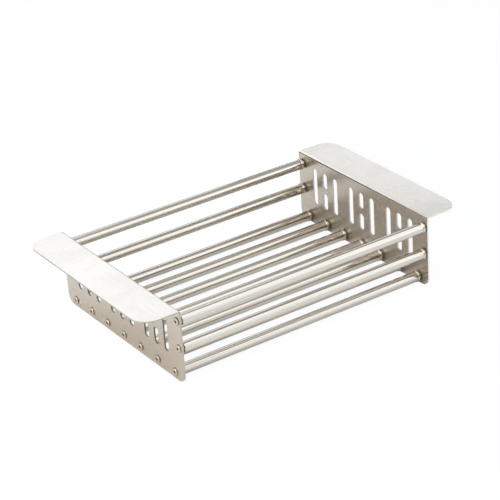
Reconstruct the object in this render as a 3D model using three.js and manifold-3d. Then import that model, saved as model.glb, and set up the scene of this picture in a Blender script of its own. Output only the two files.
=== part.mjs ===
// Over-sink draining basket that slides out to span a sink bowl. Millimetres, +Z up.
// X runs along the rods and Y along the end plates. The origin lies under the middle of the basket,
// on the surface that the plates' lower edges stand on, with the rods pushed together.
import * as THREE from 'three';
import { mergeVertices } from 'three/addons/utils/BufferGeometryUtils.js';
import Module from 'manifold-3d';

const wasm = await Module();
wasm.setup();

// End plates: folded sheet with a hanging lip at the top
const clearSpan = 269.5;
const plateWidth = 200;
const plateHeight = 72;
const plateThickness = 1.5;
const plateFootRadius = 9;
const lipDepth = 37.5;
const lipCornerRadius = 17;
const bendInnerRadius = 0.5;

// Drain slots in each plate: groups of columns, with the middle column of a group split in two
const slotGroupCount = 3;
const slotsPerGroup = 3;
const slotWidth = 7;
const slotPitch = 16.3;
const slotEdgeMargin = 25.7;
const slotBottomMargin = 22.4;
const slotTopMargin = 10.8;
const slotBridge = 5.5;

// Places of the rods on the plates
const floorRodCount = 7;
const floorRodLift = 1.5;
const floorRodEdgeMargin = 14.5;
const railEdgeMargin = 5.6;
const upperRailDrop = 11.8;

// Outer tubes, fixed to the left plate
const tubeDiameter = 10;
const tubeWall = 0.5;
const mouthGap = 1.2;
const neckLength = 2.2;
const neckStep = 1.2;
const mouthRollLength = 1.2;
const beadInset = 0.6;
const beadWidth = 2;
const beadRise = 0.6;

// Inner tubes and their glides, fixed to the right plate
const innerTubeGap = 0.5;
const innerTubeWall = 0.6;
const glideClearance = 0.15;
const glideLength = 30;
const glideChamfer = 0.6;
const glideSpigotLength = 10;
const spigotClearance = 0.2;
const slideTravel = 140;
const stopClearance = 0.5;

// Threaded tube ends and button-head screws
const threadedEndLength = 12;
const screwDiameter = 4;
const screwClearance = 0.3;
const screwDepth = 9;
const headDiameter = 7.6;
const headHeight = 1.2;
const headRim = 0.5;
const headCrownDiameter = 6;
const socketAcrossFlats = 2.5;
const socketDepth = 1;

// Facets of round forms, and how far a cutting solid runs past what it cuts
const roundSides = 12;
const arcSegments = 6;
const cutMargin = 1;

// Sizes that follow from those above
const tubeRadius = tubeDiameter / 2;
const boreRadius = tubeRadius - tubeWall;
const innerTubeRadius = boreRadius - innerTubeGap;
const innerTubeBore = innerTubeRadius - innerTubeWall;
const mouthRollDepth = innerTubeGap - glideClearance;
const screwRadius = screwDiameter / 2;
const screwHoleRadius = screwRadius + screwClearance;
const tubeLength = clearSpan - mouthGap;
const rollStart = tubeLength - mouthRollLength;
const leftFace = -clearSpan / 2;
const rightFace = clearSpan / 2;
const glideSeat = leftFace + rollStart - stopClearance - slideTravel;
const innerTubeLength = rightFace - glideSeat;

// Finishes
const brushedSteel = { color: 0xbdb5aa, roughness: 0.38, metalness: 1 };
const polishedSteel = { color: 0xd6d1c8, roughness: 0.14, metalness: 1 };
const drawnSteel = { color: 0xc4beb4, roughness: 0.22, metalness: 1 };
const screwSteel = { color: 0xb3aba0, roughness: 0.25, metalness: 1 };
const nylon = { color: 0x3a3733, roughness: 0.6, metalness: 0 };

// Solids for cutting, from closed geometry
function solidFrom(geometry) {
  const bare = geometry.clone();
  bare.deleteAttribute('normal');
  bare.deleteAttribute('uv');
  const merged = mergeVertices(bare);
  const index = merged.index.array;
  const triangles = [];
  for (let i = 0; i < index.length; i += 3) {
    const [a, b, c] = index.slice(i, i + 3);
    if (a !== b && b !== c && c !== a) {
      triangles.push(a, b, c);
    }
  }
  const mesh = new wasm.Mesh({
    numProp: 3,
    vertProperties: new Float32Array(merged.attributes.position.array),
    triVerts: new Uint32Array(triangles),
  });
  return new wasm.Manifold(mesh);
}

function geometryFrom(solid) {
  const mesh = solid.getMesh();
  const geometry = new THREE.BufferGeometry();
  geometry.setAttribute('position', new THREE.BufferAttribute(mesh.vertProperties, 3));
  geometry.setIndex(new THREE.BufferAttribute(mesh.triVerts, 1));
  geometry.computeVertexNormals();
  return geometry;
}

// A turned piece about the X axis, from [radius, x] pairs
function turned(profile) {
  const points = profile.map(([radius, x]) => new THREE.Vector2(radius, x));
  return new THREE.LatheGeometry(points, roundSides).rotateZ(-Math.PI / 2);
}

// An outline in the YZ plane, made solid along X
function extrudedAlongX(shape, depth) {
  const geometry = new THREE.ExtrudeGeometry(shape, { depth, bevelEnabled: false, curveSegments: arcSegments });
  const alongX = new THREE.Matrix4().makeBasis(
    new THREE.Vector3(0, 1, 0),
    new THREE.Vector3(0, 0, 1),
    new THREE.Vector3(1, 0, 0),
  );
  return geometry.applyMatrix4(alongX);
}

// End plate, facing -X with its facing side at x = 0 and its lip pointing to +X
function foldedSheet() {
  const outside = bendInnerRadius + plateThickness;
  const bendX = outside;
  const bendZ = plateHeight - outside;
  const lipEnd = plateThickness + lipDepth;
  const section = new THREE.Shape();
  section.moveTo(0, 0);
  section.lineTo(plateThickness, 0);
  section.lineTo(plateThickness, bendZ);
  section.absarc(bendX, bendZ, bendInnerRadius, Math.PI, Math.PI / 2, true);
  section.lineTo(lipEnd, plateHeight - plateThickness);
  section.lineTo(lipEnd, plateHeight);
  section.lineTo(bendX, plateHeight);
  section.absarc(bendX, bendZ, outside, Math.PI / 2, Math.PI, false);
  section.closePath();
  const options = { depth: plateWidth, bevelEnabled: false, curveSegments: arcSegments };
  const geometry = new THREE.ExtrudeGeometry(section, options);
  return geometry.rotateX(Math.PI / 2).translate(0, plateWidth / 2, 0);
}

// What a round corner takes off a square one that has its metal on the +x, +y side
function cornerOffcut(radius) {
  const shape = new THREE.Shape();
  shape.moveTo(-cutMargin, -cutMargin);
  shape.lineTo(radius, -cutMargin);
  shape.lineTo(radius, 0);
  shape.absarc(radius, radius, radius, -Math.PI / 2, -Math.PI, true);
  shape.lineTo(-cutMargin, radius);
  shape.closePath();
  return shape;
}

function footOffcut(side) {
  const geometry = new THREE.ExtrudeGeometry(cornerOffcut(plateFootRadius), {
    depth: plateThickness + 2 * cutMargin,
    bevelEnabled: false,
    curveSegments: arcSegments,
  });
  const quarterTurn = side < 0 ? 0 : Math.PI / 2;
  geometry.rotateZ(quarterTurn).rotateX(Math.PI / 2).rotateZ(Math.PI / 2);
  return geometry.translate(-cutMargin, side * plateWidth / 2, 0);
}

function lipOffcut(side) {
  const geometry = new THREE.ExtrudeGeometry(cornerOffcut(lipCornerRadius), {
    depth: plateThickness + 2 * cutMargin,
    bevelEnabled: false,
    curveSegments: arcSegments,
  });
  geometry.rotateZ(side < 0 ? Math.PI / 2 : Math.PI);
  const underside = plateHeight - plateThickness;
  return geometry.translate(plateThickness + lipDepth, side * plateWidth / 2, underside - cutMargin);
}

function slotCut(y, bottom, top) {
  const radius = slotWidth / 2;
  const shape = new THREE.Shape();
  shape.absarc(y, top - radius, radius, 0, Math.PI, false);
  shape.absarc(y, bottom + radius, radius, Math.PI, 2 * Math.PI, false);
  shape.closePath();
  return extrudedAlongX(shape, plateThickness + 2 * cutMargin).translate(-cutMargin, 0, 0);
}

function slotCuts() {
  const bottom = slotBottomMargin;
  const top = plateHeight - slotTopMargin;
  const middle = (bottom + top) / 2;
  const groupHalf = slotPitch * (slotsPerGroup - 1) / 2;
  const firstGroup = -plateWidth / 2 + slotEdgeMargin + groupHalf;
  const groupPitch = -2 * firstGroup / (slotGroupCount - 1);
  const cuts = [];
  for (let group = 0; group < slotGroupCount; group += 1) {
    for (let column = 0; column < slotsPerGroup; column += 1) {
      const y = firstGroup + group * groupPitch - groupHalf + column * slotPitch;
      const split = column > 0 && column < slotsPerGroup - 1;
      if (split) {
        cuts.push(slotCut(y, bottom, middle - slotBridge / 2));
        cuts.push(slotCut(y, middle + slotBridge / 2, top));
      } else {
        cuts.push(slotCut(y, bottom, top));
      }
    }
  }
  return cuts;
}

function screwHoleCut({ y, z }) {
  const length = plateThickness + 2 * cutMargin;
  const cylinder = new THREE.CylinderGeometry(screwHoleRadius, screwHoleRadius, length, roundSides);
  return cylinder.rotateZ(-Math.PI / 2).translate(plateThickness / 2, y, z);
}

function endPlate(rods) {
  const cuts = [
    ...[-1, 1].map(footOffcut),
    ...[-1, 1].map(lipOffcut),
    ...slotCuts(),
    ...rods.map(screwHoleCut),
  ];
  let plate = solidFrom(foldedSheet());
  for (const cut of cuts) {
    plate = plate.subtract(solidFrom(cut));
  }
  return geometryFrom(plate);
}

// Outer tube from x = 0 at the left plate: necked threaded end, plain tube, bead and a rolled-in mouth as the stop
function outerTube() {
  const neckRadius = tubeRadius - neckStep;
  const beadEnd = tubeLength - beadInset;
  const beadStart = beadEnd - beadWidth;
  return turned([
    [screwHoleRadius, 0],
    [neckRadius, 0],
    [neckRadius, neckLength],
    [tubeRadius, neckLength],
    [tubeRadius, beadStart],
    [tubeRadius + beadRise, (beadStart + beadEnd) / 2],
    [tubeRadius, beadEnd],
    [tubeRadius - mouthRollDepth, tubeLength],
    [boreRadius - mouthRollDepth, tubeLength],
    [boreRadius, rollStart],
    [boreRadius, threadedEndLength],
    [screwHoleRadius, threadedEndLength],
    [screwHoleRadius, 0],
  ]);
}

// Inner tube from x = 0 at its glide to its threaded end at the right plate
function innerTube() {
  const threadStart = innerTubeLength - threadedEndLength;
  return turned([
    [innerTubeBore, 0],
    [innerTubeRadius, 0],
    [innerTubeRadius, innerTubeLength],
    [screwHoleRadius, innerTubeLength],
    [screwHoleRadius, threadStart],
    [innerTubeBore, threadStart],
    [innerTubeBore, 0],
  ]);
}

// Glide that plugs the inner tube's open end, with its shoulder at x = 0
function glide() {
  const glideRadius = boreRadius - glideClearance;
  const spigotRadius = innerTubeBore - spigotClearance;
  return turned([
    [0, -glideLength],
    [glideRadius - glideChamfer, -glideLength],
    [glideRadius, glideChamfer - glideLength],
    [glideRadius, 0],
    [spigotRadius, 0],
    [spigotRadius, glideSpigotLength],
    [0, glideSpigotLength],
  ]);
}

// Button-head screw with its head to +X, seated at x = 0 on the plate's outer face
function screw() {
  const shankLength = plateThickness + screwDepth;
  const body = turned([
    [0, -shankLength],
    [screwRadius, -shankLength],
    [screwRadius, 0],
    [headDiameter / 2, 0],
    [headDiameter / 2, headRim],
    [headCrownDiameter / 2, headHeight],
    [0, headHeight],
  ]);
  const hexRadius = socketAcrossFlats / 2 / Math.cos(Math.PI / 6);
  const hexLength = socketDepth + cutMargin;
  const socket = new THREE.CylinderGeometry(hexRadius, hexRadius, hexLength, 6);
  socket.rotateZ(-Math.PI / 2).translate(headHeight - socketDepth + hexLength / 2, 0, 0);
  return geometryFrom(solidFrom(body).subtract(solidFrom(socket)));
}

// Axes of the rods: a row along the floor, and two rails on each long side
function rodAxes() {
  const floorZ = tubeRadius + floorRodLift;
  const upperZ = plateHeight - upperRailDrop;
  const floorEnd = plateWidth / 2 - floorRodEdgeMargin;
  const floorPitch = 2 * floorEnd / (floorRodCount - 1);
  const railY = plateWidth / 2 - railEdgeMargin;
  const axes = [];
  for (let i = 0; i < floorRodCount; i += 1) {
    axes.push({ name: `floor_${i + 1}`, y: -floorEnd + i * floorPitch, z: floorZ });
  }
  for (const [side, y] of [['front', -railY], ['back', railY]]) {
    axes.push({ name: `${side}_upper`, y, z: upperZ });
    axes.push({ name: `${side}_middle`, y, z: (floorZ + upperZ) / 2 });
  }
  return axes;
}

function addPiece(parent, name, geometry, finish, x, y, z) {
  const mesh = new THREE.Mesh(geometry, new THREE.MeshStandardMaterial(finish));
  mesh.name = name;
  mesh.position.set(x, y, z);
  parent.add(mesh);
  return mesh;
}

const rods = rodAxes();
const plateGeometry = endPlate(rods);
const outerTubeGeometry = outerTube();
const innerTubeGeometry = innerTube();
const glideGeometry = glide();
const screwGeometry = screw();
const rightOuterFace = rightFace + plateThickness;
const leftOuterFace = leftFace - plateThickness;

const fixedEnd = new THREE.Group();
const leftPlate = addPiece(fixedEnd, 'left_end_plate', plateGeometry, brushedSteel, leftFace, 0, 0);
leftPlate.rotation.z = Math.PI;

const slidingEnd = new THREE.Group();
addPiece(slidingEnd, 'right_end_plate', plateGeometry, brushedSteel, rightFace, 0, 0);

for (const { name, y, z } of rods) {
  addPiece(fixedEnd, `${name}_outer_tube`, outerTubeGeometry, polishedSteel, leftFace, y, z);
  const leftScrew = addPiece(fixedEnd, `${name}_left_screw`, screwGeometry, screwSteel, leftOuterFace, y, z);
  leftScrew.rotation.z = Math.PI;
  addPiece(slidingEnd, `${name}_inner_tube`, innerTubeGeometry, drawnSteel, glideSeat, y, z);
  addPiece(slidingEnd, `${name}_glide`, glideGeometry, nylon, glideSeat, y, z);
  addPiece(slidingEnd, `${name}_right_screw`, screwGeometry, screwSteel, rightOuterFace, y, z);
}

const basket = new THREE.Group();
basket.add(fixedEnd, slidingEnd);

export default basket;
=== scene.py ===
"""Looks of an over-sink draining basket whose two halves slide apart.

Metres, +Z up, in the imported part's frame.
"""
import math

import bmesh
import bpy
from mathutils import Matrix, Vector


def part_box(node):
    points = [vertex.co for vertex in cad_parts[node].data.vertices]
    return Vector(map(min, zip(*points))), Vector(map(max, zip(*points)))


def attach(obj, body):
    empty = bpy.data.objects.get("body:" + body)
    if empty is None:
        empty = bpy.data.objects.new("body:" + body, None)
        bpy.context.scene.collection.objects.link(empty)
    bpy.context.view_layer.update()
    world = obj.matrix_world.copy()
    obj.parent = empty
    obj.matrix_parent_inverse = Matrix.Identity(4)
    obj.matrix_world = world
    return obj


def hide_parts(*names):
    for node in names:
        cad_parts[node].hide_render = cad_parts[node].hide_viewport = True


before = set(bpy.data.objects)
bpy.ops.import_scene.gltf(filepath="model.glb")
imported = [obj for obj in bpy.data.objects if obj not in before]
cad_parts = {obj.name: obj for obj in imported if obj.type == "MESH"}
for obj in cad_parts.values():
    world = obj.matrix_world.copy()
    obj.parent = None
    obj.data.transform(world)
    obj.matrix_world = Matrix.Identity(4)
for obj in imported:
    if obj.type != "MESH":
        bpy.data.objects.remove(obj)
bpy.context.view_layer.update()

MM = 0.001
WELD = 0.01 * MM
QUARTER_TURN = math.pi / 2
HALF_TURN = math.pi
FULL_TURN = 2 * math.pi
SHARP_EDGE_ANGLE = math.radians(35)

# End plates: folded slotted sheet
PLATE_THICKNESS = 1.5 * MM
PLATE_FOOT_RADIUS = 9 * MM
LIP_CORNER_RADIUS = 17 * MM
BEND_OUTER_RADIUS = 2 * MM
PLATE_RIM_ROUND = 0.2 * MM
PLATE_RIM_STEPS = 3
PLATE_RIM_ANGLE = math.radians(50)
SLOT_GROUPS = 3
SLOT_WIDTH = 7 * MM
SLOT_PITCH = 16.3 * MM
SLOT_EDGE_MARGIN = 25.7 * MM
SLOT_BOTTOM_MARGIN = 22.4 * MM
SLOT_TOP_MARGIN = 10.8 * MM
SLOT_BRIDGE = 5.5 * MM
SCREW_HOLE_RADIUS = 2.3 * MM
ARC_STEPS = 12

# Outer tubes
TUBE_RADIUS = 5 * MM
TUBE_BORE = 4.5 * MM
NECK_RADIUS = 3.8 * MM
NECK_LENGTH = 2.2 * MM
SHOULDER_ROUND = 0.5 * MM
MOUTH_GAP = 1.2 * MM
MOUTH_ROLL_LENGTH = 1.2 * MM
MOUTH_ROLL_DEPTH = 0.35 * MM
BEAD_INSET = 0.6 * MM
BEAD_WIDTH = 2 * MM
BEAD_RISE = 0.6 * MM
# Length over which painted shade rises into the crease before the bead
CREASE_SHADE_WIDTH = 0.7 * MM
THREADED_END = 12 * MM
ROUND_SIDES = 64
PROFILE_STEPS = 8

# Inner tubes and glides
INNER_RADIUS = 4 * MM
INNER_BORE = 3.4 * MM
INNER_CHAMFER = 0.2 * MM
GLIDE_RADIUS = 4.35 * MM
GLIDE_LENGTH = 30 * MM
GLIDE_CHAMFER = 0.6 * MM
GLIDE_RING_COUNT = 3
GLIDE_RING_HALF_WIDTH = 1.25 * MM
GLIDE_RING_DEPTH = 0.25 * MM
SPIGOT_RADIUS = 3.2 * MM
SPIGOT_LENGTH = 10 * MM

# Button-head screws
SCREW_RADIUS = 2 * MM
SCREW_REACH = 10.5 * MM
SCREW_CHAMFER = 0.4 * MM
HEAD_RADIUS = 3.8 * MM
HEAD_RIM = 0.5 * MM
HEAD_HEIGHT = 1.2 * MM
HEAD_EDGE_CHAMFER = 0.1 * MM
CROWN_RADIUS = 3 * MM
SOCKET_FLATS = 2.5 * MM
SOCKET_DEPTH = 1 * MM
SOCKET_CHAMFER = 0.12 * MM
SOCKET_CONE = 0.4 * MM
SCREW_SIDES = 48
LEFT_SCREW_SEED = 3
RIGHT_SCREW_SEED = 8

# Finishes
WARM_STEEL = (0.61, 0.53, 0.435)
TUBE_STEEL = (0.605, 0.54, 0.46)
FRESH_CUT_STEEL = (0.80, 0.745, 0.665)
BAND_CONTRAST = 0.035
DULL_PATCH_START = 0.42
DULL_PATCH_FULL = 0.72
# Painted shade: a dark colour and extra roughness mixed into steel in crevices, in the tube mouths, under
# screw heads and on the plates' cut walls
PAINTED_SHADE_COLOUR = (0.060, 0.048, 0.036, 1)
PAINTED_SHADE_DULLING = 0.2
# Shares of painted shade on the plates' cut edges and slot walls; the left plate's are darkened more than
# the right's
LEFT_EDGE_SHADE = 0.42
LEFT_SLOT_SHADE = 0.8
RIGHT_EDGE_SHADE = 0.0
RIGHT_SLOT_SHADE = 0.25
NYLON_DARK = (0.030, 0.028, 0.025, 1)
NYLON_LIGHT = (0.055, 0.052, 0.047, 1)
NYLON_ROUGHNESS = 0.42
NYLON_ROUGHNESS_SPREAD = 0.25
NYLON_PIT_DEPTH = 0.03 * MM

# Camera: fitted to the picture, in degrees and metres, with its lens and sensor in millimetres
CAMERA_AIM = Vector((-0.0010, -0.0085, 0.0494))
CAMERA_AZIMUTH = 33.03
CAMERA_ELEVATION = 27.01
CAMERA_ROLL = -3.75
CAMERA_DISTANCE = 1.755
CAMERA_LENS = 137.10
CAMERA_SENSOR = 36

# Stage: the surround's rise and sides are parts of a direction of length 1
FLOOR_SIZE = 12.0
FLOOR_COLOUR = (0.86, 0.86, 0.86, 1)
SEEN_WHITE_SHARE = 0.95
MIRRORED_WHITE_SHARE = 0.04
HORIZON_STRENGTH = 0.10
ZENITH_STRENGTH = 0.59
FULL_STRENGTH_RISE = 0.8
DARK_SIDE_SHARE = 0.3
DARK_SIDE_X = -0.5
FULL_SIDE_X = 0.0

# The frame's own places
RODS = [f"floor_{i}" for i in range(1, 8)] + ["front_upper", "front_middle", "back_upper", "back_middle"]


def centre_of(node):
    low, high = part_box(node)
    return (low + high) / 2


plate_low, plate_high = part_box("right_end_plate")
PLATE_WIDTH = plate_high.y - plate_low.y
PLATE_HEIGHT = plate_high.z
RIGHT_FACE = plate_low.x
LEFT_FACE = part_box("left_end_plate")[1].x
LIP_REACH = plate_high.x - plate_low.x
TUBE_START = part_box("floor_1_outer_tube")[0].x
TUBE_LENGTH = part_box("floor_1_outer_tube")[1].x - TUBE_START
INNER_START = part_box("floor_1_inner_tube")[0].x
INNER_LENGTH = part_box("floor_1_inner_tube")[1].x - INNER_START
ROD_PLACES = [centre_of(rod + "_outer_tube") for rod in RODS]
LEFT_SEAT = LEFT_FACE - PLATE_THICKNESS
RIGHT_SEAT = RIGHT_FACE + PLATE_THICKNESS


# Node helpers
def feed(tree, node, key, value):
    """Gives a node's input a socket to read or a plain value."""
    if isinstance(value, bpy.types.NodeSocket):
        tree.links.new(value, node.inputs[key])
    else:
        node.inputs[key].default_value = value


def add_node(tree, kind, inputs, **settings):
    """A new node with its settings made and its inputs fed."""
    node = tree.nodes.new(kind)
    for key, value in settings.items():
        setattr(node, key, value)
    for key, value in inputs.items():
        feed(tree, node, key, value)
    return node


def node_group(name, kind, inputs, outputs):
    """A node group with named sockets, the sockets that it is given and the node that takes its result."""
    tree = bpy.data.node_groups.new(name, kind)
    for in_out, sockets in (("INPUT", inputs), ("OUTPUT", outputs)):
        for label, socket in sockets.items():
            tree.interface.new_socket(label, in_out=in_out, socket_type="NodeSocket" + socket)
    return tree, tree.nodes.new("NodeGroupInput").outputs, tree.nodes.new("NodeGroupOutput")


def math_node(tree, operation, first, second=0.0):
    """The result of a Math node. Sine, cosine and absolute read the first value alone."""
    return add_node(tree, "ShaderNodeMath", {0: first, 1: second}, operation=operation).outputs[0]


def mixed_colour(tree, first, second, share):
    """A colour between two, each a socket or four plain numbers."""
    # A Mix node set to colours reads them from inputs 6 and 7 and gives its output 2
    node = add_node(tree, "ShaderNodeMix", {0: share, 6: first, 7: second}, data_type="RGBA")
    return node.outputs[2]


# Finishes of the pieces
def brushed_grain_group():
    """Fine parallel lines left by a brushing belt, drawn out along Y of the vector."""
    tree, given, result = node_group(
        "brushed_grain",
        "ShaderNodeTree",
        {"Vector": "Vector", "Across": "Float", "Along": "Float"},
        {"Lines": "Float", "Bands": "Float"},
    )
    stretch = add_node(tree, "ShaderNodeCombineXYZ", {
        "X": given["Across"],
        "Y": given["Along"],
        "Z": given["Across"],
    })
    drawn = add_node(tree, "ShaderNodeVectorMath", {
        0: given["Vector"],
        1: stretch.outputs[0],
    }, operation="MULTIPLY")
    lines = {"Scale": 1.0, "Detail": 3.0, "Roughness": 0.6}
    bands = {"Scale": 0.12, "Detail": 2.0, "Roughness": 0.5}
    for label, looks in (("Lines", lines), ("Bands", bands)):
        texture = add_node(tree, "ShaderNodeTexNoise", {"Vector": drawn.outputs[0], **looks})
        feed(tree, result, label, texture.outputs["Fac"])
    return tree


def handling_marks_group():
    """Soft patches where hands and cloths have dulled the metal a little, and a slow wave."""
    tree, given, result = node_group(
        "handling_marks",
        "ShaderNodeTree",
        {"Vector": "Vector", "Scale": "Float"},
        {"Dulling": "Float", "Wave": "Float"},
    )
    place = {"Vector": given["Vector"], "Scale": given["Scale"]}
    patch_looks = {"Detail": 4.0, "Roughness": 0.55, "Distortion": 0.6}
    patches = add_node(tree, "ShaderNodeTexNoise", {**place, **patch_looks})
    wave = add_node(tree, "ShaderNodeTexNoise", {**place, "Detail": 1.0, "Roughness": 0.3})
    spread = add_node(tree, "ShaderNodeMapRange", {
        "Value": patches.outputs["Fac"],
        "From Min": DULL_PATCH_START,
        "From Max": DULL_PATCH_FULL,
    })
    feed(tree, result, "Dulling", spread.outputs["Result"])
    feed(tree, result, "Wave", wave.outputs["Fac"])
    return tree


BRUSHED_GRAIN = brushed_grain_group()
HANDLING_MARKS = handling_marks_group()


def new_material(name):
    """A new material, its node tree and its Principled shader."""
    material = bpy.data.materials.new(name)
    material.use_nodes = True
    return material, material.node_tree, material.node_tree.nodes["Principled BSDF"]


def metal(name, base, roughness, grain, grain_depth, grain_contrast, marks=0.06, mark_scale=25.0,
          wave_depth=0.0, wave_stretch=(1, 1, 1), turn=(0, 0, 0), shade_amount=1.0):
    """Steel with brushing lines, dulled patches and a slight waviness, all on Object coordinates.

    A per-point attribute, times the share given, mixes in a dark colour and more roughness: painted shade in
    crevices and on cut walls.
    """
    material, tree, shader = new_material(name)
    feed(tree, shader, "Metallic", 1.0)
    place = tree.nodes.new("ShaderNodeTexCoord").outputs["Object"]
    turned = add_node(tree, "ShaderNodeMapping", {"Vector": place, "Rotation": turn})
    stretched = add_node(tree, "ShaderNodeMapping", {"Vector": place, "Scale": wave_stretch})
    dulled = add_node(tree, "ShaderNodeGroup", {
        "Vector": stretched.outputs["Vector"],
        "Scale": mark_scale,
    }, node_tree=HANDLING_MARKS)
    across, along = grain
    lined = add_node(tree, "ShaderNodeGroup", {
        "Vector": turned.outputs["Vector"],
        "Across": across,
        "Along": along,
    }, node_tree=BRUSHED_GRAIN)

    # The lines average one half, so half of their contrast comes off
    dulling = math_node(tree, "MULTIPLY", dulled.outputs["Dulling"], marks)
    lining = math_node(tree, "MULTIPLY", lined.outputs["Lines"], grain_contrast)
    rough = math_node(tree, "ADD", dulling, lining)
    rough = math_node(tree, "ADD", rough, roughness - grain_contrast / 2)
    # Painted shade: the per-point attribute darkens the base colour and adds roughness
    recess = add_node(tree, "ShaderNodeAttribute", {}, attribute_name="recess")
    shade_share = math_node(tree, "MULTIPLY", recess.outputs["Fac"], shade_amount)
    shade_rough = math_node(tree, "MULTIPLY", shade_share, PAINTED_SHADE_DULLING)
    feed(tree, shader, "Roughness", math_node(tree, "ADD", rough, shade_rough))

    dark = [(1 - BAND_CONTRAST) * part for part in base] + [1]
    light = [(1 + BAND_CONTRAST) * part for part in base] + [1]
    tint = mixed_colour(tree, dark, light, lined.outputs["Bands"])
    feed(tree, shader, "Base Color", mixed_colour(tree, tint, PAINTED_SHADE_COLOUR, shade_share))

    wavy = add_node(tree, "ShaderNodeBump", {
        "Strength": 1.0,
        "Distance": wave_depth,
        "Height": dulled.outputs["Wave"],
    })
    scored = add_node(tree, "ShaderNodeBump", {
        "Strength": 1.0,
        "Distance": grain_depth,
        "Height": lined.outputs["Lines"],
        "Normal": wavy.outputs["Normal"],
    })
    feed(tree, shader, "Normal", scored.outputs["Normal"])
    return material


def moulded_nylon():
    """Dark nylon with a clouded colour and fine pits."""
    material, tree, shader = new_material("moulded_nylon")
    place = tree.nodes.new("ShaderNodeTexCoord").outputs["Object"]
    cloud = add_node(tree, "ShaderNodeTexNoise", {"Vector": place, "Scale": 180.0, "Detail": 3.0})
    pits = add_node(tree, "ShaderNodeTexNoise", {"Vector": place, "Scale": 2600.0, "Detail": 2.0})
    colour = mixed_colour(tree, NYLON_DARK, NYLON_LIGHT, cloud.outputs["Fac"])
    feed(tree, shader, "Base Color", colour)
    rough = math_node(tree, "MULTIPLY", pits.outputs["Fac"], NYLON_ROUGHNESS_SPREAD)
    feed(tree, shader, "Roughness", math_node(tree, "ADD", rough, NYLON_ROUGHNESS))
    bump = add_node(tree, "ShaderNodeBump", {
        "Strength": 0.5,
        "Distance": NYLON_PIT_DEPTH,
        "Height": pits.outputs["Fac"],
    })
    feed(tree, shader, "Normal", bump.outputs["Normal"])
    return material


brushed_plate = metal("brushed_plate", WARM_STEEL, 0.26, grain=(4200.0, 26.0), grain_depth=0.012 * MM,
                      grain_contrast=0.10, marks=0.05, mark_scale=18.0, shade_amount=0.0)
deburred_rim = metal("deburred_rim", FRESH_CUT_STEEL, 0.45, grain=(1800.0, 40.0), grain_depth=0.002 * MM,
                     grain_contrast=0.08)
polished_tube = metal("polished_tube", TUBE_STEEL, 0.14, grain=(1400.0, 9.0), grain_depth=0.0004 * MM,
                      grain_contrast=0.04, marks=0.05, mark_scale=30.0, wave_depth=0.008 * MM,
                      wave_stretch=(0.35, 1, 1), turn=(0, 0, QUARTER_TURN), shade_amount=0.4)
drawn_tube = metal("drawn_tube", WARM_STEEL, 0.20, grain=(1900.0, 12.0), grain_depth=0.002 * MM,
                   grain_contrast=0.08, turn=(0, 0, QUARTER_TURN), shade_amount=0.4)
screw_steel = metal("screw_steel", WARM_STEEL, 0.34, grain=(900.0, 900.0), grain_depth=0.003 * MM,
                    grain_contrast=0.06, mark_scale=120.0)
nylon = moulded_nylon()


# Mesh helpers
def object_of(name, data):
    made = bpy.data.objects.new(name, data)
    bpy.context.scene.collection.objects.link(made)
    return made


def arc(centre, radius, start, end, steps):
    """Points of an arc in degrees, as (along, out) pairs; radius may be one number or a pair."""
    wide, tall = radius if isinstance(radius, tuple) else (radius, radius)
    points = []
    for i in range(steps + 1):
        angle = math.radians(start + (end - start) * i / steps)
        points.append((centre[0] + wide * math.cos(angle), centre[1] + tall * math.sin(angle)))
    return points


def fully_shaded(points):
    """Profile points that carry full painted shade."""
    return [(x, radius, 1.0) for x, radius in points]


def lathe(name, profile, sides, closed):
    """A turned mesh about X from (x, radius) pairs or (x, radius, share of painted shade).

    A radius may be a function of the angle. A radius of 0 makes one point.
    """
    form = bmesh.new()
    recess = form.verts.layers.float.new("recess")
    rings = []
    for x, radius, *shade_amount in profile:
        if radius == 0:
            ring = [form.verts.new((x, 0, 0))]
        else:
            ring = []
            for i in range(sides):
                angle = FULL_TURN * i / sides
                out = radius(angle) if callable(radius) else radius
                ring.append(form.verts.new((x, out * math.cos(angle), out * math.sin(angle))))
        for vertex in ring:
            vertex[recess] = shade_amount[0] if shade_amount else 0.0
        rings.append(ring)
    pairs = list(zip(rings, rings[1:]))
    if closed:
        pairs.append((rings[-1], rings[0]))
    for first, second in pairs:
        for i in range(sides):
            j = (i + 1) % sides
            near = (first[i % len(first)], first[j % len(first)])
            far = (second[j % len(second)], second[i % len(second)])
            # A ring of one point gives its vertex twice, and the face is a triangle
            form.faces.new(list(dict.fromkeys(near + far)))
    bmesh.ops.recalc_face_normals(form, faces=form.faces)
    mesh = bpy.data.meshes.new(name)
    form.to_mesh(mesh)
    form.free()
    mesh.shade_smooth()
    mesh.set_sharp_from_angle(angle=SHARP_EDGE_ANGLE)
    return object_of(name, mesh)


# Geometry Nodes helpers
def add_modifier(owner, tree, values):
    """Puts the tree on the object and sets its inputs by their sockets' identifiers."""
    modifier = owner.modifiers.new(tree.name, "NODES")
    modifier.node_group = tree
    identifiers = {s.name: s.identifier for s in tree.interface.items_tree if s.in_out == "INPUT"}
    for label, value in values.items():
        modifier[identifiers[label]] = value


def plain_piece(owner, name):
    """The evaluated object as a plain mesh on a new object; the maker object is removed."""
    bpy.context.view_layer.update()
    evaluated = owner.evaluated_get(bpy.context.evaluated_depsgraph_get())
    mesh = bpy.data.meshes.new_from_object(evaluated)
    mesh.name = name
    bpy.data.objects.remove(owner)
    return object_of(name, mesh)


def points_object(name, places):
    mesh = bpy.data.meshes.new(name)
    mesh.from_pydata(places, [], [])
    return object_of(name, mesh)


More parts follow.
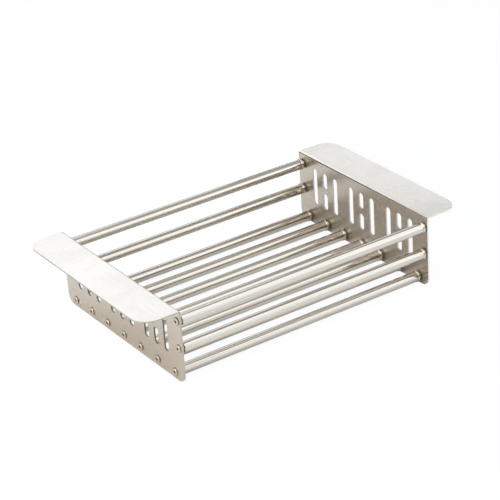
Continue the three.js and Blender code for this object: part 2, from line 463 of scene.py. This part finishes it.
def rod_row_tree():
    """Sets one modelled piece at every rod's axis, each turned by its own seeded angle."""
    tree, given, result = node_group(
        "rod_row",
        "GeometryNodeTree",
        {
            "Geometry": "Geometry",
            "Piece": "Object",
            "Facing": "Float",
            "Loose Turn": "Float",
            "Seed": "Int",
            "Finish": "Material",
        },
        {"Geometry": "Geometry"},
    )
    piece = add_node(tree, "GeometryNodeObjectInfo", {"Object": given["Piece"]})
    # A Random Value node set to numbers reads its upper limit from input 3 and gives its output 1
    turn = add_node(tree, "FunctionNodeRandomValue", {
        3: given["Loose Turn"],
        "Seed": given["Seed"],
    }, data_type="FLOAT")
    turns = add_node(tree, "ShaderNodeCombineXYZ", {"X": turn.outputs[1], "Z": given["Facing"]})
    copies = add_node(tree, "GeometryNodeInstanceOnPoints", {
        "Points": given["Geometry"],
        "Instance": piece.outputs["Geometry"],
        "Rotation": turns.outputs[0],
    })
    real = add_node(tree, "GeometryNodeRealizeInstances", {"Geometry": copies.outputs["Instances"]})
    finish = add_node(tree, "GeometryNodeSetMaterial", {
        "Geometry": real.outputs["Geometry"],
        "Material": given["Finish"],
    })
    feed(tree, result, "Geometry", finish.outputs["Geometry"])
    return tree


def slotted_sheet_tree():
    """The facing skin of an end plate: slotted panel, bend and lip, with its thickness still to come.

    The incoming points are the screw places, laid flat with x along the plate and y up it.
    """
    numbers = (
        "Width", "Panel Height", "Bend Radius", "Lip Depth", "Foot Radius", "Lip Corner Radius",
        "Slot Width", "Slot Pitch", "Group Pitch", "Slot Bottom", "Slot Top", "Slot Bridge",
        "Hole Radius", "Weld", "Turn", "Edge Shade", "Slot Shade",
    )
    tree, size, result = node_group(
        "slotted_sheet",
        "GeometryNodeTree",
        {
            "Geometry": "Geometry",
            **dict.fromkeys(numbers, "Float"),
            "Groups": "Int",
            "Arc Steps": "Int",
            "Place": "Vector",
            "Finish": "Material",
            "Rim Finish": "Material",
        },
        {"Geometry": "Geometry"},
    )

    def add(kind, inputs, **settings):
        return add_node(tree, kind, inputs, **settings).outputs

    def calc(operation, first, second=0.0):
        return math_node(tree, operation, first, second)

    def half(number):
        return calc("MULTIPLY", number, 0.5)

    def negative(number):
        return calc("MULTIPLY", number, -1.0)

    def vector(x=0.0, y=0.0, z=0.0):
        return add("ShaderNodeCombineXYZ", {"X": x, "Y": y, "Z": z})[0]

    def position():
        """The X, Y and Z of each point."""
        return add("ShaderNodeSeparateXYZ", {0: add("GeometryNodeInputPosition", {})[0]})

    def moved(geometry, shift):
        return add("GeometryNodeTransform", {"Geometry": geometry, "Translation": shift})["Geometry"]

    def joined(*geometries):
        node = tree.nodes.new("GeometryNodeJoinGeometry")
        for geometry in reversed(geometries):
            feed(tree, node, "Geometry", geometry)
        return node.outputs["Geometry"]

    def realized(geometry):
        return add("GeometryNodeRealizeInstances", {"Geometry": geometry})["Geometry"]

    def rounded_outline(width, height, radius, rounded_side):
        """A centred rectangle; rounded_side is 1 for round top corners, -1 for the lower ones, 0 for all."""
        outline = add("GeometryNodeCurvePrimitiveQuadrilateral", {"Width": width, "Height": height})
        if rounded_side:
            upright = calc("MULTIPLY", position()["Y"], float(rounded_side))
            radius = calc("MULTIPLY", calc("GREATER_THAN", upright, 0.0), radius)
        return add("GeometryNodeFilletCurve", {
            "Curve": outline["Curve"],
            "Count": size["Arc Steps"],
            "Radius": radius,
            "Limit Radius": True,
        }, mode="POLY")["Curve"]

    def filled(curve):
        return add("GeometryNodeFillCurve", {"Curve": curve}, mode="NGONS")["Mesh"]

    def laid(geometry, x, z):
        """Moves flat points to world axes: x along the plate becomes -Y.

        The functions x and z give the world's X and Z from the flat y.
        """
        flat = position()
        place = vector(x(flat["Y"]), negative(flat["X"]), z(flat["Y"]))
        return add("GeometryNodeSetPosition", {"Geometry": geometry, "Position": place})["Geometry"]

    # Slots of one group, about the middle of their height
    slot_height = calc("SUBTRACT", size["Slot Top"], size["Slot Bottom"])
    slot_middle = half(calc("ADD", size["Slot Top"], size["Slot Bottom"]))
    short_height = half(calc("SUBTRACT", slot_height, size["Slot Bridge"]))
    short_shift = half(calc("ADD", short_height, size["Slot Bridge"]))
    slot_round = half(size["Slot Width"])
    long_slot = rounded_outline(size["Slot Width"], slot_height, slot_round, 0)
    short_slot = rounded_outline(size["Slot Width"], short_height, slot_round, 0)
    group = joined(
        moved(long_slot, vector(x=negative(size["Slot Pitch"]))),
        moved(long_slot, vector(x=size["Slot Pitch"])),
        moved(short_slot, vector(y=negative(short_shift))),
        moved(short_slot, vector(y=short_shift)),
    )
    half_row = half(calc("SUBTRACT", size["Groups"], 1.0))
    first_group = calc("MULTIPLY", negative(half_row), size["Group Pitch"])
    row = add("GeometryNodeMeshLine", {
        "Count": size["Groups"],
        "Start Location": vector(x=first_group, y=slot_middle),
        "Offset": vector(x=size["Group Pitch"]),
    }, mode="OFFSET")
    slots = add("GeometryNodeInstanceOnPoints", {"Points": row["Mesh"], "Instance": group})

    # Screw holes at the incoming points
    hole = add("GeometryNodeCurvePrimitiveCircle", {
        "Resolution": calc("MULTIPLY", size["Arc Steps"], 2.0),
        "Radius": size["Hole Radius"],
    }, mode="RADIUS")
    holes = add("GeometryNodeInstanceOnPoints", {"Points": size["Geometry"], "Instance": hole["Curve"]})

    # Panel with its slots and holes
    panel_outline = rounded_outline(size["Width"], size["Panel Height"], size["Foot Radius"], -1)
    panel_outline = moved(panel_outline, vector(y=half(size["Panel Height"])))
    cut_outline = realized(joined(panel_outline, slots["Instances"], holes["Instances"]))
    panel = laid(filled(cut_outline), lambda y: 0.0, lambda y: y)

    # Bend, from a flat grid whose y runs from -0.5 to 0.5
    bend = add("GeometryNodeMeshGrid", {
        "Size X": size["Width"],
        "Size Y": 1.0,
        "Vertices X": 2,
        "Vertices Y": calc("ADD", size["Arc Steps"], 1.0),
    })

    def bend_part(operation, y):
        """The bend's radius times the sine or cosine of the angle round it."""
        angle = calc("MULTIPLY", calc("ADD", y, 0.5), QUARTER_TURN)
        return calc("MULTIPLY", size["Bend Radius"], calc(operation, angle))

    bent = laid(
        bend["Mesh"],
        lambda y: calc("SUBTRACT", size["Bend Radius"], bend_part("COSINE", y)),
        lambda y: calc("ADD", size["Panel Height"], bend_part("SINE", y)),
    )

    # Lip, level with the bend's top
    lip_flat = calc("SUBTRACT", size["Lip Depth"], size["Bend Radius"])
    lip_outline = rounded_outline(size["Width"], lip_flat, size["Lip Corner Radius"], 1)
    lip_outline = moved(lip_outline, vector(y=half(lip_flat)))
    lip = laid(
        filled(lip_outline),
        lambda y: calc("ADD", size["Bend Radius"], y),
        lambda y: calc("ADD", size["Bend Radius"], size["Panel Height"]),
    )
    skin = add("GeometryNodeMergeByDistance", {
        "Geometry": joined(panel, bent, lip),
        "Distance": size["Weld"],
    })

    # Points inside the panel's outline lie on slots and holes, whose cut walls get their own share of
    # painted shade
    at = position()
    margin = size["Bend Radius"]
    side = calc("SUBTRACT", half(size["Width"]), margin)
    top = calc("SUBTRACT", size["Panel Height"], margin)
    inside = calc("LESS_THAN", calc("ABSOLUTE", at["Y"]), side)
    inside = calc("MULTIPLY", inside, calc("GREATER_THAN", at["Z"], margin))
    inside = calc("MULTIPLY", inside, calc("LESS_THAN", at["Z"], top))
    more = calc("SUBTRACT", size["Slot Shade"], size["Edge Shade"])
    shade_amount = add("GeometryNodeStoreNamedAttribute", {
        "Geometry": skin["Geometry"],
        "Name": "recess",
        "Value": calc("ADD", size["Edge Shade"], calc("MULTIPLY", inside, more)),
    }, data_type="FLOAT", domain="POINT")
    smooth = add("GeometryNodeSetShadeSmooth", {"Geometry": shade_amount["Geometry"]})
    placed = add("GeometryNodeTransform", {
        "Geometry": smooth["Geometry"],
        "Translation": size["Place"],
        "Rotation": vector(z=size["Turn"]),
    })

    # The rim's finish is set first to take the slot before the sheet's, for the walls of the thickness
    geometry = realized(placed["Geometry"])
    for label in ("Rim Finish", "Finish"):
        finish = add("GeometryNodeSetMaterial", {"Geometry": geometry, "Material": size[label]})
        geometry = finish["Geometry"]
    feed(tree, result, "Geometry", geometry)
    return tree


SHEET_TREE = slotted_sheet_tree()
ROD_ROW_TREE = rod_row_tree()


# Pieces
def end_plate(name, face, turn, edge_shade, slot_shade):
    """A folded slotted plate with its facing side at x = face."""
    maker = points_object(name + "_maker", [(-p.y, p.z, 0) for p in ROD_PLACES])
    # The thickness and the rounding count the maker's slots, which repeat those of the tree's result:
    # an empty one and then the two finishes
    finishes = (None, deburred_rim, brushed_plate)
    for finish in finishes:
        maker.data.materials.append(finish)
    rim_slot = finishes.index(deburred_rim)
    sheet_slot = finishes.index(brushed_plate)
    first_group = -PLATE_WIDTH / 2 + SLOT_EDGE_MARGIN + SLOT_PITCH
    add_modifier(maker, SHEET_TREE, {
        "Width": PLATE_WIDTH,
        "Panel Height": PLATE_HEIGHT - BEND_OUTER_RADIUS,
        "Bend Radius": BEND_OUTER_RADIUS,
        "Lip Depth": LIP_REACH,
        "Foot Radius": PLATE_FOOT_RADIUS,
        "Lip Corner Radius": LIP_CORNER_RADIUS,
        "Slot Width": SLOT_WIDTH,
        "Slot Pitch": SLOT_PITCH,
        "Group Pitch": -2 * first_group / (SLOT_GROUPS - 1),
        "Slot Bottom": SLOT_BOTTOM_MARGIN,
        "Slot Top": PLATE_HEIGHT - SLOT_TOP_MARGIN,
        "Slot Bridge": SLOT_BRIDGE,
        "Hole Radius": SCREW_HOLE_RADIUS,
        "Weld": WELD,
        "Turn": turn,
        "Edge Shade": edge_shade,
        "Slot Shade": slot_shade,
        "Groups": SLOT_GROUPS,
        "Arc Steps": ARC_STEPS,
        "Place": (face, 0, 0),
        "Finish": brushed_plate,
        "Rim Finish": deburred_rim,
    })
    wall = maker.modifiers.new("sheet_thickness", "SOLIDIFY")
    wall.thickness = PLATE_THICKNESS
    wall.offset = -1
    wall.use_even_offset = True
    wall.use_quality_normals = True
    wall.material_offset_rim = rim_slot - sheet_slot
    rim = maker.modifiers.new("rim_round", "BEVEL")
    rim.width = PLATE_RIM_ROUND
    rim.segments = PLATE_RIM_STEPS
    rim.limit_method = "ANGLE"
    rim.angle_limit = PLATE_RIM_ANGLE
    rim.material = rim_slot
    maker.modifiers.new("flat_faces", "WEIGHTED_NORMAL")
    plate = plain_piece(maker, name)
    # The empty slot goes
    plate.data.materials.pop(index=0)
    return plate


def rod_row(name, modelled, x, finish, facing=0.0, loose_turn=0.0, seed=0):
    """One piece for each rod, made from a modelled object and set at x along the rods."""
    maker = points_object(name + "_maker", [(x, p.y, p.z) for p in ROD_PLACES])
    add_modifier(maker, ROD_ROW_TREE, {
        "Piece": modelled,
        "Facing": facing,
        "Loose Turn": loose_turn,
        "Seed": seed,
        "Finish": finish,
    })
    return plain_piece(maker, name)


def outer_tube():
    """Tube with a necked left end, and a bead and a rolled-in mouth at its right end."""
    end = TUBE_LENGTH
    bead = end - BEAD_INSET - BEAD_WIDTH / 2
    mouth_radius = TUBE_RADIUS - MOUTH_ROLL_DEPTH
    mouth_bore = TUBE_BORE - MOUTH_ROLL_DEPTH
    shoulder = (NECK_LENGTH + SHOULDER_ROUND, TUBE_RADIUS - SHOULDER_ROUND)
    # Painted shade in the neck, in the creases either side of the bead, and in the mouth and bore
    profile = fully_shaded([(0, SCREW_HOLE_RADIUS), (0, NECK_RADIUS), (NECK_LENGTH, NECK_RADIUS)])
    profile += arc(shoulder, SHOULDER_ROUND, 180, 90, PROFILE_STEPS)
    profile += [(bead - BEAD_WIDTH / 2 - CREASE_SHADE_WIDTH, TUBE_RADIUS)]
    profile += fully_shaded([(bead - BEAD_WIDTH / 2, TUBE_RADIUS)])
    profile += arc((bead, TUBE_RADIUS), (BEAD_WIDTH / 2, BEAD_RISE), 180, 0, PROFILE_STEPS)[1:-1]
    profile += fully_shaded([(bead + BEAD_WIDTH / 2, TUBE_RADIUS)])
    roll = arc((end - BEAD_INSET, mouth_radius), (BEAD_INSET, MOUTH_ROLL_DEPTH), 90, 0, PROFILE_STEPS // 2)
    profile += roll[1:]
    profile += fully_shaded([
        (end, mouth_bore),
        (end - MOUTH_ROLL_LENGTH, TUBE_BORE),
        (THREADED_END, TUBE_BORE),
        (THREADED_END, SCREW_HOLE_RADIUS),
    ])
    return lathe("outer_tube_model", profile, ROUND_SIDES, True)


def inner_tube():
    """Thinner tube with an open left end and a threaded right end."""
    end = INNER_LENGTH
    profile = [
        (0, INNER_BORE),
        (0, INNER_RADIUS - INNER_CHAMFER),
        (INNER_CHAMFER, INNER_RADIUS),
        (end - MOUTH_GAP, INNER_RADIUS),
    ]
    # Painted shade on the part left in the gap by the plate, and on the end and bore
    profile += fully_shaded([
        (end - MOUTH_GAP / 2, INNER_RADIUS),
        (end - INNER_CHAMFER, INNER_RADIUS),
        (end, INNER_RADIUS - INNER_CHAMFER),
        (end, SCREW_HOLE_RADIUS),
        (end - THREADED_END, SCREW_HOLE_RADIUS),
        (end - THREADED_END, INNER_BORE),
    ])
    return lathe("inner_tube_model", profile, ROUND_SIDES, True)


def glide():
    """Ringed plug with its shoulder at x = 0 and a spigot to +X."""
    profile = [
        (-GLIDE_LENGTH, 0),
        (-GLIDE_LENGTH, GLIDE_RADIUS - GLIDE_CHAMFER),
        (GLIDE_CHAMFER - GLIDE_LENGTH, GLIDE_RADIUS),
    ]
    pitch = GLIDE_LENGTH / (GLIDE_RING_COUNT + 1)
    ring = (GLIDE_RING_HALF_WIDTH, GLIDE_RING_DEPTH)
    for i in range(GLIDE_RING_COUNT):
        middle = (i + 1) * pitch - GLIDE_LENGTH
        profile += arc((middle, GLIDE_RADIUS), ring, 180, 360, PROFILE_STEPS)
    profile += [
        (0, GLIDE_RADIUS),
        (0, SPIGOT_RADIUS),
        (SPIGOT_LENGTH - GLIDE_CHAMFER, SPIGOT_RADIUS),
        (SPIGOT_LENGTH, SPIGOT_RADIUS - GLIDE_CHAMFER),
        (SPIGOT_LENGTH, 0),
    ]
    return lathe("glide_model", profile, ROUND_SIDES, False)


def hexagon(flats):
    """The radius of a hexagon by the angle, from its width across flats."""
    def radius(angle):
        return flats / 2 / math.cos(angle % (math.pi / 3) - math.pi / 6)
    return radius


def screw():
    """Button-head screw with its head to +X and a hexagon socket."""
    socket_floor = HEAD_HEIGHT - SOCKET_DEPTH
    profile = [
        (-SCREW_REACH, 0),
        (-SCREW_REACH, SCREW_RADIUS - SCREW_CHAMFER),
        (SCREW_CHAMFER - SCREW_REACH, SCREW_RADIUS),
        (0, SCREW_RADIUS),
    ]
    # Painted shade under the head's edge and in the socket
    profile += fully_shaded([(0, HEAD_RADIUS - HEAD_EDGE_CHAMFER), (HEAD_EDGE_CHAMFER, HEAD_RADIUS)])
    dome = (HEAD_HEIGHT - HEAD_RIM, HEAD_RADIUS - CROWN_RADIUS)
    profile += arc((HEAD_RIM, CROWN_RADIUS), dome, 90, 0, PROFILE_STEPS)
    profile += [(HEAD_HEIGHT, hexagon(SOCKET_FLATS + 2 * SOCKET_CHAMFER))]
    profile += fully_shaded([
        (HEAD_HEIGHT - SOCKET_CHAMFER, hexagon(SOCKET_FLATS)),
        (socket_floor, hexagon(SOCKET_FLATS)),
        (socket_floor - SOCKET_CONE, 0),
    ])
    return lathe("screw_model", profile, SCREW_SIDES, False)


left_plate = end_plate("left_plate", LEFT_FACE, HALF_TURN, LEFT_EDGE_SHADE, LEFT_SLOT_SHADE)
right_plate = end_plate("right_plate", RIGHT_FACE, 0.0, RIGHT_EDGE_SHADE, RIGHT_SLOT_SHADE)
models = {"tube": outer_tube(), "inner": inner_tube(), "glide": glide(), "screw": screw()}
outer_tubes = rod_row("outer_tubes", models["tube"], TUBE_START, polished_tube)
inner_tubes = rod_row("inner_tubes", models["inner"], INNER_START, drawn_tube)
glides = rod_row("glides", models["glide"], INNER_START, nylon)
left_screws = rod_row("left_screws", models["screw"], LEFT_SEAT, screw_steel, facing=HALF_TURN,
                      loose_turn=FULL_TURN, seed=LEFT_SCREW_SEED)
right_screws = rod_row("right_screws", models["screw"], RIGHT_SEAT, screw_steel,
                       loose_turn=FULL_TURN, seed=RIGHT_SCREW_SEED)
for modelled in models.values():
    bpy.data.objects.remove(modelled)

for piece, body, slot, kind in (
    (outer_tubes, "fixed_end", "tube_polished", "outer_tube"),
    (left_screws, "fixed_end", "screw_steel", "left_screw"),
    (inner_tubes, "sliding_end", "tube_drawn", "inner_tube"),
    (glides, "sliding_end", "nylon", "glide"),
    (right_screws, "sliding_end", "screw_steel", "right_screw"),
):
    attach(piece, body)
    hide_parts(*[f"{rod}_{kind}" for rod in RODS])
for piece, body, node in (
    (left_plate, "fixed_end", "left_end_plate"),
    (right_plate, "sliding_end", "right_end_plate"),
):
    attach(piece, body)
    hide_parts(node)


# Floor, lamps, world and camera
def pale_floor():
    """A matt floor, nearly white to the camera, that keeps some of the shadow."""
    mesh = bpy.data.meshes.new("floor")
    edge = FLOOR_SIZE / 2
    corners = [(-edge, -edge, 0), (edge, -edge, 0), (edge, edge, 0), (-edge, edge, 0)]
    mesh.from_pydata(corners, [], [(0, 1, 2, 3)])
    floor = object_of("floor", mesh)
    material, tree, shader = new_material("white_floor")
    tree.nodes.remove(shader)
    paint = add_node(tree, "ShaderNodeBsdfDiffuse", {"Color": FLOOR_COLOUR})
    white = add_node(tree, "ShaderNodeEmission", {"Strength": 1.0})
    path = tree.nodes.new("ShaderNodeLightPath").outputs
    mirrored = math_node(tree, "MAXIMUM", path["Is Glossy Ray"], path["Is Transmission Ray"])
    mirrored = math_node(tree, "MULTIPLY", mirrored, MIRRORED_WHITE_SHARE)
    seen = math_node(tree, "MULTIPLY", path["Is Camera Ray"], SEEN_WHITE_SHARE)
    mix = add_node(tree, "ShaderNodeMixShader", {
        0: math_node(tree, "MAXIMUM", seen, mirrored),
        1: paint.outputs[0],
        2: white.outputs[0],
    })
    feed(tree, tree.nodes["Material Output"], "Surface", mix.outputs[0])
    mesh.materials.append(material)


def softbox(name, place, aim, width, height, brightness, colour):
    """An area lamp that faces aim, as bright to look at as brightness says."""
    lamp = bpy.data.lights.new(name, "AREA")
    lamp.shape = "RECTANGLE"
    lamp.size = width
    lamp.size_y = height
    lamp.energy = brightness * math.pi * width * height
    lamp.color = colour
    holder = object_of(name, lamp)
    holder.visible_camera = False
    holder.location = place
    holder.rotation_euler = (Vector(aim) - Vector(place)).to_track_quat("-Z", "Y").to_euler()


def studio_world():
    """A grey surround, darker towards the horizon and the left, that is white to the camera itself."""
    world = bpy.data.worlds.new("studio")
    world.use_nodes = True
    tree = world.node_tree
    direction = tree.nodes.new("ShaderNodeTexCoord").outputs["Generated"]
    parts = add_node(tree, "ShaderNodeSeparateXYZ", {0: direction}).outputs
    rise = add_node(tree, "ShaderNodeMapRange", {
        "Value": parts["Z"],
        "From Max": FULL_STRENGTH_RISE,
        "To Min": HORIZON_STRENGTH,
        "To Max": ZENITH_STRENGTH,
    })
    side = add_node(tree, "ShaderNodeMapRange", {
        "Value": parts["X"],
        "From Min": DARK_SIDE_X,
        "From Max": FULL_SIDE_X,
        "To Min": DARK_SIDE_SHARE,
    })
    strength = math_node(tree, "MULTIPLY", rise.outputs["Result"], side.outputs["Result"])
    path = tree.nodes.new("ShaderNodeLightPath").outputs
    strength = math_node(tree, "MAXIMUM", strength, path["Is Camera Ray"])
    background = tree.nodes["Background"]
    feed(tree, background, "Color", (1, 1, 1, 1))
    feed(tree, background, "Strength", strength)
    bpy.context.scene.world = world


def fitted_camera():
    """The camera of the fit, rolled about its own line of sight."""
    azimuth = math.radians(CAMERA_AZIMUTH)
    elevation = math.radians(CAMERA_ELEVATION)
    roll = math.radians(CAMERA_ROLL)
    forward = Vector((
        math.sin(azimuth) * math.cos(elevation),
        math.cos(azimuth) * math.cos(elevation),
        -math.sin(elevation),
    ))
    level = forward.cross(Vector((0, 0, 1))).normalized()
    upright = level.cross(forward)
    right = level * math.cos(roll) + upright * math.sin(roll)
    up = right.cross(forward)
    lens = bpy.data.cameras.new("camera")
    lens.sensor_width = CAMERA_SENSOR
    lens.lens = CAMERA_LENS
    camera = object_of("camera", lens)
    turn = Matrix((right, up, -forward)).transposed().to_4x4()
    camera.matrix_world = Matrix.Translation(CAMERA_AIM - forward * CAMERA_DISTANCE) @ turn
    bpy.context.scene.camera = camera


pale_floor()
softbox("overhead_panel", place=(0.3, -0.29, 0.34), aim=(0.3, -0.29, 0), width=1.2, height=0.46,
        brightness=1.12, colour=(0.88, 1.0, 1.13))
softbox("front_softbox", place=(1.0, -1.5, 0.5), aim=(0, 0, 0.05), width=1.4, height=1.0,
        brightness=1.25, colour=(0.89, 1.0, 1.11))
softbox("left_fill", place=(-1.05, 0.05, 0.5), aim=(-0.22, 0.07, 0), width=1.0, height=0.8,
        brightness=4.5, colour=(0.97, 1.0, 1.03))
softbox("top_fill", place=(-0.3, 0.5, 1.4), aim=(0, 0.1, 0), width=1.3, height=1.3,
        brightness=1.02, colour=(0.93, 1.0, 1.08))
softbox("back_panel", place=(0.15, 1.4, 0.92), aim=(0, 0, 0.07), width=1.42, height=0.5,
        brightness=1.84, colour=(0.86, 1.0, 1.22))
softbox("side_panel", place=(1.63, 1.4, 0.93), aim=(0.1, 0, 0.07), width=1.15, height=0.5,
        brightness=1.75, colour=(0.86, 1.0, 1.20))
softbox("high_strip", place=(0.13, 1.4, 1.36), aim=(0.13, 0, 0.07), width=0.6, height=0.44,
        brightness=1.6, colour=(0.95, 1.0, 1.08))
studio_world()
fitted_camera()
bpy.context.scene.view_settings.view_transform = "Standard"
